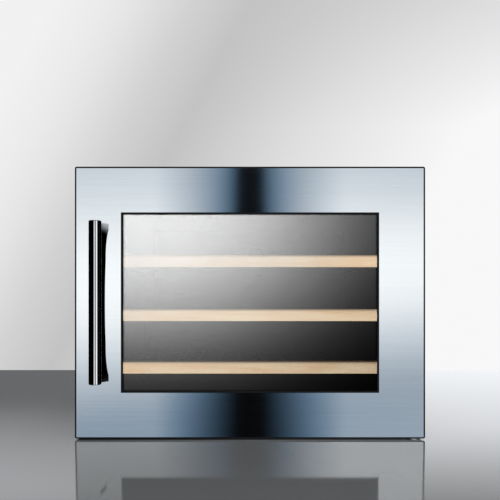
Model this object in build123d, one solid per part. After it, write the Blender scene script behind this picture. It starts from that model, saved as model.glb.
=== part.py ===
from build123d import *
import os

# Built-in wine cooler with a glazed stainless door, in millimetres.
# +Z is up, the door faces -Y, and the origin is the middle of the footprint on the floor.
# Depths are measured backwards from the front face of the stainless door panel.

# ---- cabinet ----
body_width = 556.0
body_height = 445.0
body_bottom = 5.0
body_depth = 517.0
sheet = 1.0
side_insulation = 33.0  # cabinet's side to the inside of the liner, and so on
floor_insulation = 41.0
roof_insulation = 35.0
rear_insulation = 31.0
liner_wall = 1.6
liner_flange = 7.0
liner_corner = 14.0
bay_depth = 151.0
bay_height = 164.0
bay_insulation = 23.4

# ---- door, as seen from the front ----
door_side_lap = 17.0  # how far the door stands past the cabinet's sides
door_top_lap = 10.0
door_floor_gap = 2.0
door_thickness = 36.0
door_corner = 3.0
door_stile = 77.5  # frame width at the window's sides
door_rail = 77.0  # frame width above and below the window
edge_lip = 2.4  # black edge of the frame that shows all round the stainless panel
window_lip = 3.0  # black edge of the frame that shows inside the window
lip_setback = 0.3
panel_sheet = 1.0
panel_return = 8.0
frame_wall = 2.5

# ---- glazing ----
glass_thickness = 4.0
glass_spacing = 12.0
glass_overlap = 20.0  # how far the glass runs behind the frame
seal_width = 3.6
spacer_width = 7.0

# ---- door lining and gasket ----
liner_plate = 3.0
reveal_wall = 2.0
reveal_outset = 9.0  # the opening behind the panes stands outside the window, out of sight
gasket_inset_side = 10.0  # inside the cabinet's outline
gasket_inset_top = 14.0
gasket_width = 12.0
gasket_neck = 1.5
gasket_foot = 2.0
gasket_head = 3.7
barb_width = 4.0
barb_depth = 2.0
door_gap = 12.0  # from the door's rear to the cabinet's front
gasket_clearance = 0.3

# ---- handle ----
bar_radius = 10.0
bar_length = 262.0
bar_standoff = 50.0  # bar axis in front of the door
bar_edge_distance = 47.0  # bar axis from the door's left edge
bar_edge_round = 1.2
arch_width = 20.0
arch_wrap = 7.0  # how far the arch reaches round the rear of the bar
arch_gap = 25.5  # finger room behind the middle of the arch
arch_foot = 8.0
arch_inset = 3.0  # arch short of the bar's ends where it holds the bar
arch_outset = 1.5  # and past them at the door
flare_length = 52.0
flare_gap = 20.0
shoulder_gap = 14.8  # the flare's middle point, from the door and from the foot
shoulder_drop = 22.0
boss_radius = 8.0
boss_depth = 10.0
handle_screw_radius = 2.5
handle_screw_head = 4.5
handle_screw_reach = 14.0  # thread inside the arch's foot
screw_clearance = 0.2

# ---- hinge ----
pivot_edge_distance = 14.0
pivot_depth = 16.0
pin_radius = 4.0
pin_clearance = 0.05
pin_depth = 11.0  # pin inside its bush
bush_radius = 6.0
bush_length = 12.0
bush_flange_radius = 7.5
bush_flange = 0.7
arm_half = 7.5
arm_sheet = 3.0
arm_air = 1.0  # between the arm and the door above and below it
flange_half = 30.0
flange_height = 12.0
hinge_block = 15.0
bracket_air = 1.0

# ---- shelves, lowest first ----
shelf_bottoms = [104.0, 198.0, 295.0]
rail_height = 22.0
rail_thickness = 18.0
rail_round = 6.0
rail_low_round = 1.0
shelf_side_air = 7.0  # shelf to liner wall, which the runners take up
shelf_setback = 14.0  # wooden rail behind the cabinet's front
shelf_rear_air = 5.0
rod_height = 9.0  # side rods above the rail's lower edge
side_rod_radius = 3.0
cross_rod_radius = 2.5
bottle_rod_radius = 2.0
cross_rods = 6
bottle_rods = 12
bottle_rod_inset = 12.0  # outermost bottle rod to the side rod
rod_sink = 0.4  # how deep welded rods sink into each other
strap_thickness = 2.0
runner_air = 0.3
runner_flange = 3.0
runner_web = 4.0
runner_lap = 5.0

# ---- evaporator and its fan ----
evap_cover_depth = 34.0
evap_side_air = 20.0  # cover to the liner's walls, step and ceiling
evap_floor_air = 10.0
evap_roof_air = 15.0
evap_wall = 2.0
evap_slots = 9
evap_slot_length = 30.0
evap_slot_height = 5.0
evap_slot_rise = 12.0
plate_side_air = 35.0  # plate to the cover's sides, floor and ceiling
plate_floor_air = 15.0
plate_roof_air = 20.0
evap_plate_sheet = 1.5
evap_post = 4.5
evap_post_radius = 4.0
evap_post_inset = 12.0
evap_channels = 5
evap_channel_radius = 2.5
evap_channel_inset = 25.0
evap_fan_drop = 70.0  # fan axis below the cover's ceiling
evap_fan_size = 92.0
evap_fan_thickness = 18.0
evap_fan_bore = 43.0
evap_blade_count = 7
evap_blade_chord = 14.0
hoop_radii = [12.0, 22.0, 32.0]
hoop_half = 1.2
probe_inset = 45.0  # from the cover's left side and from its floor
probe_radius = 3.5
probe_half = 15.0
probe_clip_half = 6.0
probe_standoff = 5.0

# ---- control panel on the liner's ceiling ----
control_width = 190.0
control_depth = 78.0
control_height = 15.0
control_setback = 14.0
control_wall = 2.0
button_radius = 4.0
button_clearance = 0.25
button_proud = 1.5
button_pitch = 18.0
button_inset = 16.2  # display's edge to the nearest button
display_width = 40.0
display_height = 8.0
lens_width = 90.0
lens_depth = 30.0
lens_setback = 30.0
lens_rim = 3.0  # the lens's edge inside the panel
lens_sheet = 1.0

# ---- compressor bay ----
gland_foot_gap = 34.0  # cable gland to the rear foot, sideways
gland_rise = 35.0  # cable gland above the cabinet's bottom
box_left = 54.0  # control box to the left and right of the gland
box_right = 24.0
box_height = 64.0
box_setback = 20.0
compressor_gap = 18.0  # compressor's base plate to the control box
compressor_radius = 58.0
compressor_height = 125.0
compressor_dome = 26.0
plate_half = 74.0  # compressor's base plate
plate_half_depth = 58.0
plate_sheet = 3.0
mount_half = 62.0
mount_half_depth = 46.0
grommet_height = 12.0
grommet_radius = 9.0
tray_half = 60.0
tray_half_depth = 50.0
tray_height = 13.0
tray_wall = 1.5
condenser_width = 50.0
condenser_height = 140.0
condenser_fins = 15
condenser_air = 6.0
condenser_side_air = 15.0
fin_sheet = 0.7
end_sheet = 1.5
coil_rows = 4
coil_row_pitch = 33.0
coil_radius = 4.0
coil_inset = 13.0  # tubes inside the fins' edges
coil_floor_air = 20.0
header_half = 6.0  # block that carries a pipe's end on the fins
header_height = 6.0
header_drop = 8.0
header_rise = 4.0  # pipe's end above the fins
fan_bore = 56.0
cond_blade_count = 5
cond_blade_chord = 15.0
shroud_thickness = 20.0
shroud_width = 130.0
tube_radius = 3.0
tube_bend = 12.0
header_bend = 6.0
pipe_roof_air = 3.0
pipe_air = 1.5  # pipes above the condenser fan
hot_run = 35.0  # pipes past the compressor's stubs before they turn up
cold_run = 20.0
capillary_drop = 20.0
drier_neck = 10.0
drier_round = 5.0

# ---- feet and fixing brackets ----
foot_inset_x = 38.0
foot_front_depth = 90.0
foot_rear_depth = 530.0
foot_radius = 15.0
foot_pad = 4.0
stem_radius = 5.0
stem_length = 26.0
collar_height = 14.0
collar_radius = 9.0
stem_air = 1.0  # round a foot's stem in the foam
stem_end_air = 2.0
tab_height = 30.0
tab_sheet = 1.5
tab_end_distance = 75.0  # middle of a tab from the door's top or bottom edge
niche_hole_radius = 2.25
niche_hole_outset = 9.0  # past the cabinet's side
niche_hole_edge = 5.0
cabinet_screw_radius = 2.0
screw_head_radius = 3.5
screw_head = 2.2
screw_run = 7.0  # cabinet screws behind the front collar

# ---- values worked out from the sizes above ----
handle_reach = bar_standoff + bar_radius
cab_front = door_thickness + door_gap
cab_half = body_width / 2
body_top = body_bottom + body_height
body_rear = cab_front + body_depth
face_y = (handle_reach - body_rear) / 2
door_half = cab_half + door_side_lap
door_top = body_top + door_top_lap
door_mid = (door_floor_gap + door_top) / 2
liner_half = cab_half - side_insulation
liner_bottom = body_bottom + floor_insulation
liner_top = body_top - roof_insulation
liner_rear = body_rear - rear_insulation
door_rect = (-door_half, door_half, door_floor_gap, door_top)
cabinet_rect = (-cab_half, cab_half, body_bottom, body_top)
liner_rect = (-liner_half, liner_half, liner_bottom, liner_top)


def grow(rect, x_amount, z_amount=None):
    """Move all four sides of a front-view rectangle outwards."""
    z_amount = x_amount if z_amount is None else z_amount
    x0, x1, z0, z1 = rect
    return (x0 - x_amount, x1 + x_amount, z0 - z_amount, z1 + z_amount)


window_rect = grow(door_rect, -door_stile, -door_rail)


def block(x0, x1, d0, d1, z0, z1):
    """A box from its sides, its depths and its heights."""
    centre = Pos((x0 + x1) / 2, face_y + (d0 + d1) / 2, (z0 + z1) / 2)
    return centre * Box(x1 - x0, d1 - d0, z1 - z0)


def slab(rect, d0, d1, corner=0.0):
    """A front-view rectangle, with rounded corners if asked, between two depths."""
    x0, x1, z0, z1 = rect
    if corner <= 0:
        return block(x0, x1, d0, d1, z0, z1)
    outline = RectangleRounded(x1 - x0, z1 - z0, corner)
    rear = Plane(((x0 + x1) / 2, face_y + d1, (z0 + z1) / 2), (1, 0, 0), (0, -1, 0))
    return extrude(rear * outline, d1 - d0)


def ring(outer, inner, d0, d1, outer_corner=0.0, inner_corner=0.0):
    """A rectangular frame between two depths."""
    return slab(outer, d0, d1, outer_corner) - slab(inner, d0 - 1, d1 + 1, inner_corner)


def rod_x(x0, x1, depth, z, radius):
    return Pos((x0 + x1) / 2, face_y + depth, z) * Rot(0, 90, 0) * Cylinder(radius, x1 - x0)


def rod_y(x, d0, d1, z, radius):
    return Pos(x, face_y + (d0 + d1) / 2, z) * Rot(90, 0, 0) * Cylinder(radius, d1 - d0)


def rod_z(x, depth, z0, z1, radius):
    return Pos(x, face_y + depth, (z0 + z1) / 2) * Cylinder(radius, z1 - z0)


def flip_x(shape):
    return mirror(shape, about=Plane.YZ)


def flip_door(shape):
    """Mirror from the door's top to its bottom."""
    return mirror(shape, about=Plane.XY.offset(door_mid))


def group(solids):
    """Several separate solids in one node."""
    together = Part()
    for solid in solids:
        together += solid
    return together


def save(name, shape):
    export_step(shape, f"parts/{name}.step")


# ---------------------------------------------------------------- hinge places
pivot_x = door_half - pivot_edge_distance
recess_height = arm_sheet + 2 * arm_air
recess_floor = door_top - recess_height
recess_left = pivot_x - pivot_edge_distance
web_rear = panel_sheet + frame_wall
liner_front = door_thickness - liner_plate
glass_front = web_rear
inner_glass_front = glass_front + glass_thickness + glass_spacing
glass_rear = inner_glass_front + glass_thickness
glass_rect = grow(window_rect, glass_overlap)
reveal_rect = grow(window_rect, reveal_outset)


def hinge_recess():
    top = block(recess_left, door_half + 1, web_rear, door_thickness + 1, recess_floor, door_top + 1)
    return top + flip_door(top)


def hinge_blocks():
    """Solid corners of the frame that hold the bushes, clear of the panel's folded edge."""
    inside = door_half - edge_lip
    low = recess_floor - hinge_block
    top = block(recess_left, inside, web_rear, liner_front, low, recess_floor)
    top -= block(inside - panel_sheet, inside + 1, 0, panel_return, low - 1, recess_floor + 1)
    return top + flip_door(top)


def bush_holes():
    top = rod_z(pivot_x, pivot_depth, recess_floor - bush_length, recess_floor, bush_radius)
    return top + flip_door(top)


# ---------------------------------------------------------------- handle places
bar_x = -door_half + bar_edge_distance
bar_low = door_mid - bar_length / 2
bar_high = door_mid + bar_length / 2
screw_inset = (arch_foot - arch_outset) / 2  # the middle of the arch's foot
screw_levels = [bar_low + screw_inset, bar_high - screw_inset]
boss_rear = web_rear + boss_depth


def handle_holes(radius, d0, d1):
    return group([rod_y(bar_x, d0, d1, z, radius) for z in screw_levels])


def handle_bar():
    bar = rod_z(bar_x, -bar_standoff, bar_low, bar_high, bar_radius)
    return fillet(bar.edges().filter_by(GeomType.CIRCLE), bar_edge_round)


def handle_arch():
    """A bow behind the bar that stands on the door at both ends."""
    front = -bar_standoff + bar_radius - arch_wrap
    foot_end = bar_high - arch_foot
    flare_end = foot_end - flare_length

    def point(depth, z):
        return (face_y + depth, z)

    def low(depth, z):
        return point(depth, 2 * door_mid - z)

    shoulder = (-shoulder_gap, foot_end - shoulder_drop)
    end = bar_high - arch_inset
    foot = bar_high + arch_outset
    outline = Polyline(
        low(0, foot_end), low(0, foot), low(front, end), point(front, end), point(0, foot),
        point(0, foot_end),
    )
    outline += ThreePointArc(point(0, foot_end), point(*shoulder), point(-flare_gap, flare_end))
    outline += ThreePointArc(
        point(-flare_gap, flare_end), point(-arch_gap, door_mid), low(-flare_gap, flare_end)
    )
    outline += ThreePointArc(low(-flare_gap, flare_end), low(*shoulder), low(0, foot_end))
    side = Plane((bar_x - arch_width / 2, 0, 0), (0, 1, 0), (1, 0, 0))
    bow = extrude(side * make_face(outline), arch_width)
    bow -= rod_z(bar_x, -bar_standoff, bar_low - 1, bar_high + 1, bar_radius)
    return bow - handle_holes(handle_screw_radius, -handle_screw_reach, 1)


def handle_screws():
    screws = []
    for z in screw_levels:
        shank = rod_y(bar_x, -handle_screw_reach, boss_rear, z, handle_screw_radius)
        head = rod_y(bar_x, boss_rear, boss_rear + gasket_head, z, handle_screw_head)
        screws.append(shank + head)
    return group(screws)


# ---------------------------------------------------------------- door pieces
def door_panel():
    outer = grow(door_rect, -edge_lip)
    corner = door_corner - edge_lip
    panel = ring(outer, window_rect, 0, panel_sheet, corner, corner)
    panel += ring(outer, grow(outer, -panel_sheet), 0, panel_return, corner)
    panel -= handle_holes(handle_screw_radius + screw_clearance, -1, panel_sheet + 1)
    return panel - hinge_recess()


def door_frame():
    inside = grow(door_rect, -edge_lip)
    riser = grow(inside, -panel_sheet)
    riser_inside = grow(riser, -frame_wall)
    frame = ring(door_rect, inside, lip_setback, door_thickness, door_corner, door_corner - edge_lip)
    frame += ring(inside, riser_inside, panel_return, panel_return + frame_wall)
    frame += ring(riser, riser_inside, panel_sheet, panel_return + frame_wall)
    frame += ring(riser, grow(window_rect, -window_lip), panel_sheet, web_rear)
    window_corner = door_corner - edge_lip
    frame += ring(
        window_rect, grow(window_rect, -window_lip), lip_setback, panel_sheet, window_corner
    )
    frame += handle_holes(boss_radius, panel_sheet, boss_rear)
    frame += hinge_blocks()
    frame -= handle_holes(handle_screw_radius + screw_clearance, 0, boss_rear + 1)
    return frame - hinge_recess() - bush_holes()


def outer_glass():
    return slab(glass_rect, glass_front, glass_front + glass_thickness)


def inner_glass():
    return slab(glass_rect, inner_glass_front, glass_rear)


def glass_spacer():
    outer = grow(glass_rect, -seal_width)
    return ring(outer, grow(outer, -spacer_width), glass_front + glass_thickness, inner_glass_front)


def glass_seal():
    inner = grow(glass_rect, -seal_width)
    return ring(glass_rect, inner, glass_front + glass_thickness, inner_glass_front)


def door_foam():
    wide = grow(door_rect, -edge_lip)
    narrow = grow(wide, -panel_sheet - frame_wall)
    ledge_rear = panel_return + frame_wall
    corner = door_corner - edge_lip
    foam = ring(narrow, glass_rect, web_rear, ledge_rear)
    foam += ring(wide, glass_rect, ledge_rear, glass_rear, corner)
    foam += ring(wide, grow(reveal_rect, reveal_wall), glass_rear, liner_front, corner)
    foam -= handle_holes(boss_radius, web_rear, boss_rear)
    foam -= handle_holes(handle_screw_head, boss_rear, boss_rear + gasket_head)
    return foam - hinge_recess() - hinge_blocks()


gasket_side = cab_half - gasket_inset_side
gasket_top = body_top - gasket_inset_top
gasket_rect = (-gasket_side, gasket_side, 2 * door_mid - gasket_top, gasket_top)
gasket_mid = grow(gasket_rect, -gasket_width / 2)


def gasket_ring(width, d0, d1):
    """A closed ring of the gasket's section, centred on its magnet strip."""
    return ring(grow(gasket_mid, width / 2), grow(gasket_mid, -width / 2), d0, d1)


def door_liner():
    outer = grow(door_rect, -edge_lip)
    liner = ring(outer, reveal_rect, liner_front, door_thickness, door_corner - edge_lip)
    liner += ring(grow(reveal_rect, reveal_wall), reveal_rect, glass_rear, door_thickness)
    liner -= gasket_ring(barb_width, door_thickness - barb_depth, door_thickness + 1)
    return liner - hinge_recess()


def door_gasket():
    head_rear = cab_front - gasket_clearance
    foot_rear = door_thickness + gasket_foot
    gasket = gasket_ring(barb_width, door_thickness - barb_depth, door_thickness)
    gasket += gasket_ring(gasket_width, door_thickness, foot_rear)
    gasket += gasket_ring(gasket_width - 2 * gasket_neck, foot_rear, head_rear - gasket_head)
    return gasket + gasket_ring(gasket_width, head_rear - gasket_head, head_rear)


def hinge_bushes():
    bush = rod_z(pivot_x, pivot_depth, recess_floor - bush_length, recess_floor, bush_radius)
    bush += rod_z(pivot_x, pivot_depth, recess_floor, recess_floor + bush_flange, bush_flange_radius)
    bush -= rod_z(
        pivot_x, pivot_depth, recess_floor - bush_length - 1, door_top, pin_radius + pin_clearance
    )
    return group([bush, flip_door(bush)])


# ---------------------------------------------------------------- hinge on the cabinet
arm_low = recess_floor + arm_air
arm_high = arm_low + arm_sheet
flange_front = cab_front - arm_sheet
flange_low = gasket_top + bracket_air
flange_high = flange_low + flange_height
flange_right = cab_half
flange_left = flange_right - 2 * flange_half
hinge_screw_z = (flange_low + flange_high) / 2
hinge_screw_xs = [flange_left + flange_half / 2, flange_left + 1.3 * flange_half]


def hinge_bracket():
    arm = block(pivot_x - arm_half, pivot_x + arm_half, pivot_depth, cab_front, arm_low, arm_high)
    arm += rod_z(pivot_x, pivot_depth, arm_low, arm_high, arm_half)
    upright = block(
        pivot_x - 2 * arm_half, pivot_x + arm_half, flange_front, cab_front, flange_low, arm_high
    )
    flange = block(flange_left, flange_right, flange_front, cab_front, flange_low, flange_high)
    bracket = arm + upright + flange
    bracket -= rod_z(pivot_x, pivot_depth, arm_low - 1, arm_high + 1, pin_radius + pin_clearance)
    for x in hinge_screw_xs:
        bracket -= rod_y(x, flange_front - 1, cab_front + 1, hinge_screw_z, cabinet_screw_radius)
    return bracket


def hinge_brackets():
    top = hinge_bracket()
    return group([top, flip_door(top)])


def hinge_pins():
    pin = rod_z(pivot_x, pivot_depth, recess_floor - pin_depth, arm_high, pin_radius)
    return group([pin, flip_door(pin)])


# ---------------------------------------------------------------- cabinet shell
shell_front = cab_front + sheet
shell_rear = body_rear - sheet
inside_half = cab_half - sheet
inside_low = body_bottom + sheet
inside_high = body_top - sheet
bay_front = body_rear - bay_depth
bay_top = inside_low + bay_height
step_top = bay_top + bay_insulation + liner_wall
low_rear = bay_front - sheet - bay_insulation - liner_wall
screw_hole = cabinet_screw_radius
niche_hole_x = cab_half + niche_hole_outset
tab_start = gasket_side + bracket_air
tab_screw_x = (tab_start + cab_half) / 2
tab_levels = [door_floor_gap + tab_end_distance, door_top - tab_end_distance]


def front_screws(radius, d0, d1):
    """Shanks of the screws that go into the cabinet's front, or the holes for them."""
    shanks = []
    for x in hinge_screw_xs:
        shanks.append(rod_y(x, d0, d1, hinge_screw_z, radius))
        shanks.append(rod_y(x, d0, d1, 2 * door_mid - hinge_screw_z, radius))
    for z in tab_levels:
        for side in (-1, 1):
            shanks.append(rod_y(side * tab_screw_x, d0, d1, z, radius))
    return group(shanks)


def side_panel():
    return block(inside_half, cab_half, shell_front, body_rear, body_bottom, body_top)


def top_panel():
    return block(-inside_half, inside_half, shell_front, body_rear, inside_high, body_top)


foot_x = cab_half - foot_inset_x
foot_places = [(side * foot_x, foot_front_depth) for side in (-1, 1)]
rear_foot_places = [(side * foot_x, foot_rear_depth) for side in (-1, 1)]
rear_stud_radius = 4.0
rear_stud_length = 7.0


def base_pan():
    pan = block(-inside_half, inside_half, shell_front, body_rear, body_bottom, inside_low)
    for x, depth in foot_places:
        pan += rod_z(x, depth, inside_low, inside_low + collar_height, collar_radius)
        pan -= rod_z(x, depth, 0, inside_low + collar_height + 1, stem_radius + pin_clearance)
    for x, depth in rear_foot_places:
        pan -= rod_z(x, depth, 0, inside_low + 1, rear_stud_radius)
    return pan


def back_panel():
    return block(-inside_half, inside_half, shell_rear, body_rear, bay_top, inside_high)


def bay_bulkhead():
    wall = block(-inside_half, inside_half, bay_front - sheet, bay_front, inside_low, bay_top)
    roof = block(-inside_half, inside_half, bay_front, shell_rear, bay_top - sheet, bay_top)
    return wall + roof


gland_x = foot_x - gland_foot_gap
gland_z = body_bottom + gland_rise
gland_radius = 8.0
gland_bore = 4.0
gland_length = 12.0
gland_collar = 11.0
gland_collar_length = 3.0
louvre_columns = [-200.0, -100.0, 0.0, 100.0]
louvre_length = 70.0
louvre_height = 4.0
louvre_rows = 8
louvre_pitch = 15.0
louvre_low = 30.0


def bay_cover():
    cover = block(-inside_half, inside_half, shell_rear, body_rear, inside_low, bay_top)
    for column in louvre_columns:
        for row in range(louvre_rows):
            z = louvre_low + row * louvre_pitch
            half = louvre_length / 2
            cover -= block(
                column - half, column + half, shell_rear - 1, body_rear + 1, z, z + louvre_height
            )
    return cover - rod_y(gland_x, shell_rear - 1, body_rear + 1, gland_z, gland_radius)


def power_gland():
    gland = rod_y(gland_x, body_rear - gland_length, body_rear, gland_z, gland_radius)
    gland += rod_y(
        gland_x, shell_rear - gland_collar_length, shell_rear, gland_z, gland_collar
    )
    return gland - rod_y(gland_x, body_rear - gland_length - 1, body_rear + 1, gland_z, gland_bore)


def front_collar():
    collar = ring(cabinet_rect, grow(liner_rect, liner_flange), cab_front, shell_front)
    return collar - front_screws(screw_hole, cab_front - 1, shell_front + 1)


def liner_space(extra):
    """The stepped room inside the liner, grown by the wall to give its outside."""
    x = liner_half + extra
    low_half = block(-x, x, cab_front, low_rear + extra, liner_bottom - extra, step_top)
    high_half = block(-x, x, cab_front, liner_rear + extra, step_top - extra, liner_top + extra)
    low_edges = low_half.edges().filter_by(Axis.Y).group_by(Axis.Z)[0]
    high_edges = high_half.edges().filter_by(Axis.Y).group_by(Axis.Z)[-1]
    radius = liner_corner + extra
    return fillet(low_edges, radius) + fillet(high_edges, radius)


def inner_liner():
    shell = liner_space(liner_wall) - liner_space(0)
    flange = ring(
        grow(liner_rect, liner_flange), liner_rect, cab_front, shell_front, 0, liner_corner
    )
    return shell + flange


def insulation_foam():
    foam = block(-inside_half, inside_half, shell_front, shell_rear, inside_low, inside_high)
    foam -= block(
        -inside_half, inside_half, bay_front - sheet, shell_rear, inside_low, bay_top
    )
    foam -= liner_space(liner_wall)
    foam -= front_screws(screw_hole, shell_front - 1, shell_front + screw_run)
    for x, depth in foot_places:
        foam -= rod_z(x, depth, inside_low, inside_low + collar_height, collar_radius)
        stem_top = foot_pad + stem_length + stem_end_air
        foam -= rod_z(x, depth, inside_low, stem_top, stem_radius + stem_air)
    return foam


def niche_brackets():
    tabs = []
    x0 = tab_start
    x1 = niche_hole_x + niche_hole_edge
    for z in tab_levels:
        low = z - tab_height / 2
        high = z + tab_height / 2
        tab = block(x0, x1, cab_front - tab_sheet, cab_front, low, high)
        tab -= rod_y(niche_hole_x, cab_front - tab_sheet - 1, cab_front + 1, z, niche_hole_radius)
        tab -= rod_y(tab_screw_x, cab_front - tab_sheet - 1, cab_front + 1, z, screw_hole)
        tabs += [tab, flip_x(tab)]
    return group(tabs)


def cabinet_screws():
    screws = []
    for x in hinge_screw_xs:
        for z in (hinge_screw_z, 2 * door_mid - hinge_screw_z):
            shank = rod_y(x, flange_front, shell_front + screw_run, z, screw_hole)
            head = rod_y(x, flange_front - screw_head, flange_front, z, screw_head_radius)
            screws.append(shank + head)
    front = cab_front - tab_sheet
    for z in tab_levels:
        for side in (-1, 1):
            shank = rod_y(side * tab_screw_x, front, shell_front + screw_run, z, screw_hole)
            head = rod_y(side * tab_screw_x, front - screw_head, front, z, screw_head_radius)
            screws.append(shank + head)
    return group(screws)


# ---------------------------------------------------------------- feet
def front_foot(x, depth):
    pad = rod_z(x, depth, 0, foot_pad, foot_radius)
    return pad + rod_z(x, depth, foot_pad, foot_pad + stem_length, stem_radius)


def rear_feet():
    feet = []
    for x, depth in rear_foot_places:
        pad = rod_z(x, depth, 0, body_bottom, foot_radius)
        stud = rod_z(x, depth, body_bottom, body_bottom + rear_stud_length, rear_stud_radius)
        feet.append(pad + stud)
    return group(feet)


# ---------------------------------------------------------------- shelves
shelf_front = cab_front + shelf_setback
rail_rear = shelf_front + rail_thickness
shelf_half = liner_half - shelf_side_air
evap_front = liner_rear - evap_cover_depth
side_rod_x = shelf_half - side_rod_radius
shelf_gap = 8.0  # between the deep racks and the evaporator cover


def rack_rear(index):
    """The lowest rack stops at the compressor step, the others at the evaporator cover."""
    return low_rear - shelf_rear_air if index == 0 else evap_front - shelf_gap


def shelf_rail(index):
    z0 = shelf_bottoms[index]
    rail = block(-shelf_half, shelf_half, shelf_front, rail_rear, z0, z0 + rail_height)
    top_edges = rail.edges().filter_by(Axis.X).group_by(Axis.Z)[-1]
    rail = fillet(top_edges.sort_by(Axis.Y)[0], rail_round)
    low_edges = rail.edges().filter_by(Axis.X).group_by(Axis.Z)[0]
    return fillet(low_edges.sort_by(Axis.Y)[0], rail_low_round)


def shelf_rack(index):
    z = shelf_bottoms[index] + rod_height
    rear = rack_rear(index)
    rack = block(
        -side_rod_x, side_rod_x, rail_rear, rail_rear + strap_thickness,
        z - side_rod_radius, z + side_rod_radius,
    )
    for side in (-1, 1):
        rack += rod_y(side * side_rod_x, rail_rear, rear, z, side_rod_radius)
    pitch = (rear - cross_rod_radius - rail_rear) / cross_rods
    for n in range(1, cross_rods + 1):
        rack += rod_x(-side_rod_x, side_rod_x, rail_rear + n * pitch, z, cross_rod_radius)
    top = z + cross_rod_radius + bottle_rod_radius - rod_sink
    reach = side_rod_x - bottle_rod_inset
    spread = 2 * reach / (bottle_rods - 1)
    for n in range(bottle_rods):
        x = n * spread - reach
        rack += rod_y(x, rail_rear, rear, top, bottle_rod_radius)
    return rack


def shelf_runners():
    runners = []
    wall = liner_half
    for index, z0 in enumerate(shelf_bottoms):
        z = z0 + rod_height
        half = side_rod_radius + runner_air
        d0 = rail_rear + runner_web
        d1 = rack_rear(index) + runner_web / 2
        x0 = shelf_half - runner_lap - side_rod_radius
        channel = block(x0, wall, d0, d1, z - half - runner_flange, z + half + runner_flange)
        channel -= block(x0 - 1, wall - runner_web, d0 - 1, d1 + 1, z - half, z + half)
        runners += [channel, flip_x(channel)]
    return group(runners)


# ---------------------------------------------------------------- fans
fan_strut = 3.0
fan_air = 0.5
rotor_end = 2.0  # closed end of a rotor's hub
blade_sheet = 1.4
blade_pitch = 35.0
strut_angles = (30, 150, 270)
strut_width = 4.0


def fan_blades(count, root, tip, thickness, chord, pitch_angle):
    """Flat pitched blades about the Z axis, middle at the origin."""
    blades = []
    for n in range(count):
        blade = Pos((root + tip) / 2, 0, 0) * Rot(pitch_angle, 0, 0) * Box(
            tip - root, chord, thickness
        )
        blades.append(Rot(0, 0, 360 / count * n) * blade)
    return blades


def fan_rotor(hub_radius, hub_length, tip, pin, count, chord):
    """A rotor about Z: its hub from 0 up, open below for the fixed pin."""
    rotor = Pos(0, 0, hub_length / 2) * Cylinder(hub_radius, hub_length)
    for blade in fan_blades(count, hub_radius - 1, tip, blade_sheet, chord, blade_pitch):
        rotor += Pos(0, 0, hub_length / 2) * blade
    bore = hub_length - rotor_end
    return rotor - Pos(0, 0, bore / 2 - 0.5) * Cylinder(pin + pin_clearance, bore + 1)


def fan_body(size_x, size_y, thickness, bore, hub_radius, pin, pin_length):
    """A fan frame about Z from 0 up, with its motor spider at the bottom."""
    strut = fan_strut
    body = Pos(0, 0, thickness / 2) * Box(size_x, size_y, thickness)
    body -= Pos(0, 0, thickness / 2) * Cylinder(bore, thickness + 2)
    body += Pos(0, 0, strut / 2) * Cylinder(hub_radius, strut)
    for angle in strut_angles:
        arm = Pos((bore + 1) / 2, 0, strut / 2) * Box(bore + 1, strut_width, strut)
        body += Rot(0, 0, angle) * arm
    return body + Pos(0, 0, strut + pin_length / 2) * Cylinder(pin, pin_length)


# ---------------------------------------------------------------- evaporator
evap_pin = 2.0
evap_hub = 15.0
evap_fan_front = evap_front + evap_wall
evap_fan_rear = evap_fan_front + evap_fan_thickness
evap_rotor_length = 11.0
evap_blade_air = 2.0
evap_cover_half = liner_half - evap_side_air
evap_cover_bottom = step_top + evap_floor_air
evap_cover_top = liner_top - evap_roof_air
evap_fan_height = evap_cover_top - evap_fan_drop


def facing_front(x, depth, z):
    """Puts a fan made about Z so that its motor is behind and its blades face the front."""
    return Pos(x, face_y + depth, z) * Rot(90, 0, 0)


def evap_fan_housing():
    housing = fan_body(
        evap_fan_size, evap_fan_size, evap_fan_thickness, evap_fan_bore, evap_hub - 1, evap_pin,
        evap_rotor_length - rotor_end,
    )
    return facing_front(0, evap_fan_rear, evap_fan_height) * housing


def evap_fan_rotor():
    rotor = fan_rotor(
        evap_hub, evap_rotor_length, evap_fan_bore - evap_blade_air, evap_pin,
        evap_blade_count, evap_blade_chord,
    )
    return facing_front(0, evap_fan_rear - fan_strut - fan_air, evap_fan_height) * rotor


def evaporator_cover():
    half = evap_cover_half
    cover = block(-half, half, evap_front, liner_rear, evap_cover_bottom, evap_cover_top)
    cover -= block(
        -half + evap_wall, half - evap_wall, evap_front + evap_wall, liner_rear + 1,
        evap_cover_bottom + evap_wall, evap_cover_top - evap_wall,
    )
    cover -= rod_y(0, evap_front - 1, evap_front + evap_wall, evap_fan_height, evap_fan_bore)
    for radius in hoop_radii:
        hoop = rod_y(0, evap_front, evap_front + evap_wall, evap_fan_height, radius + hoop_half)
        cover += hoop - rod_y(
            0, evap_front - 1, evap_front + evap_wall + 1, evap_fan_height, radius - hoop_half
        )
    reach = evap_fan_bore + 1
    for reach_x, reach_z in ((reach, hoop_half), (hoop_half, reach)):
        spoke = block(
            -reach_x, reach_x, evap_front, evap_front + evap_wall,
            evap_fan_height - reach_z, evap_fan_height + reach_z,
        )
        cover += spoke - rod_y(
            0, evap_front - 1, evap_front + evap_wall + 1, evap_fan_height, hoop_radii[0] - 1
        )
    pitch = 2 * half / (evap_slots + 1)
    z = evap_cover_bottom + evap_slot_rise
    for n in range(evap_slots):
        x = (n + 1) * pitch - half
        cover -= block(
            x - evap_slot_length / 2, x + evap_slot_length / 2,
            evap_front - 1, evap_front + evap_wall + 1, z, z + evap_slot_height,
        )
    return cover


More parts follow.
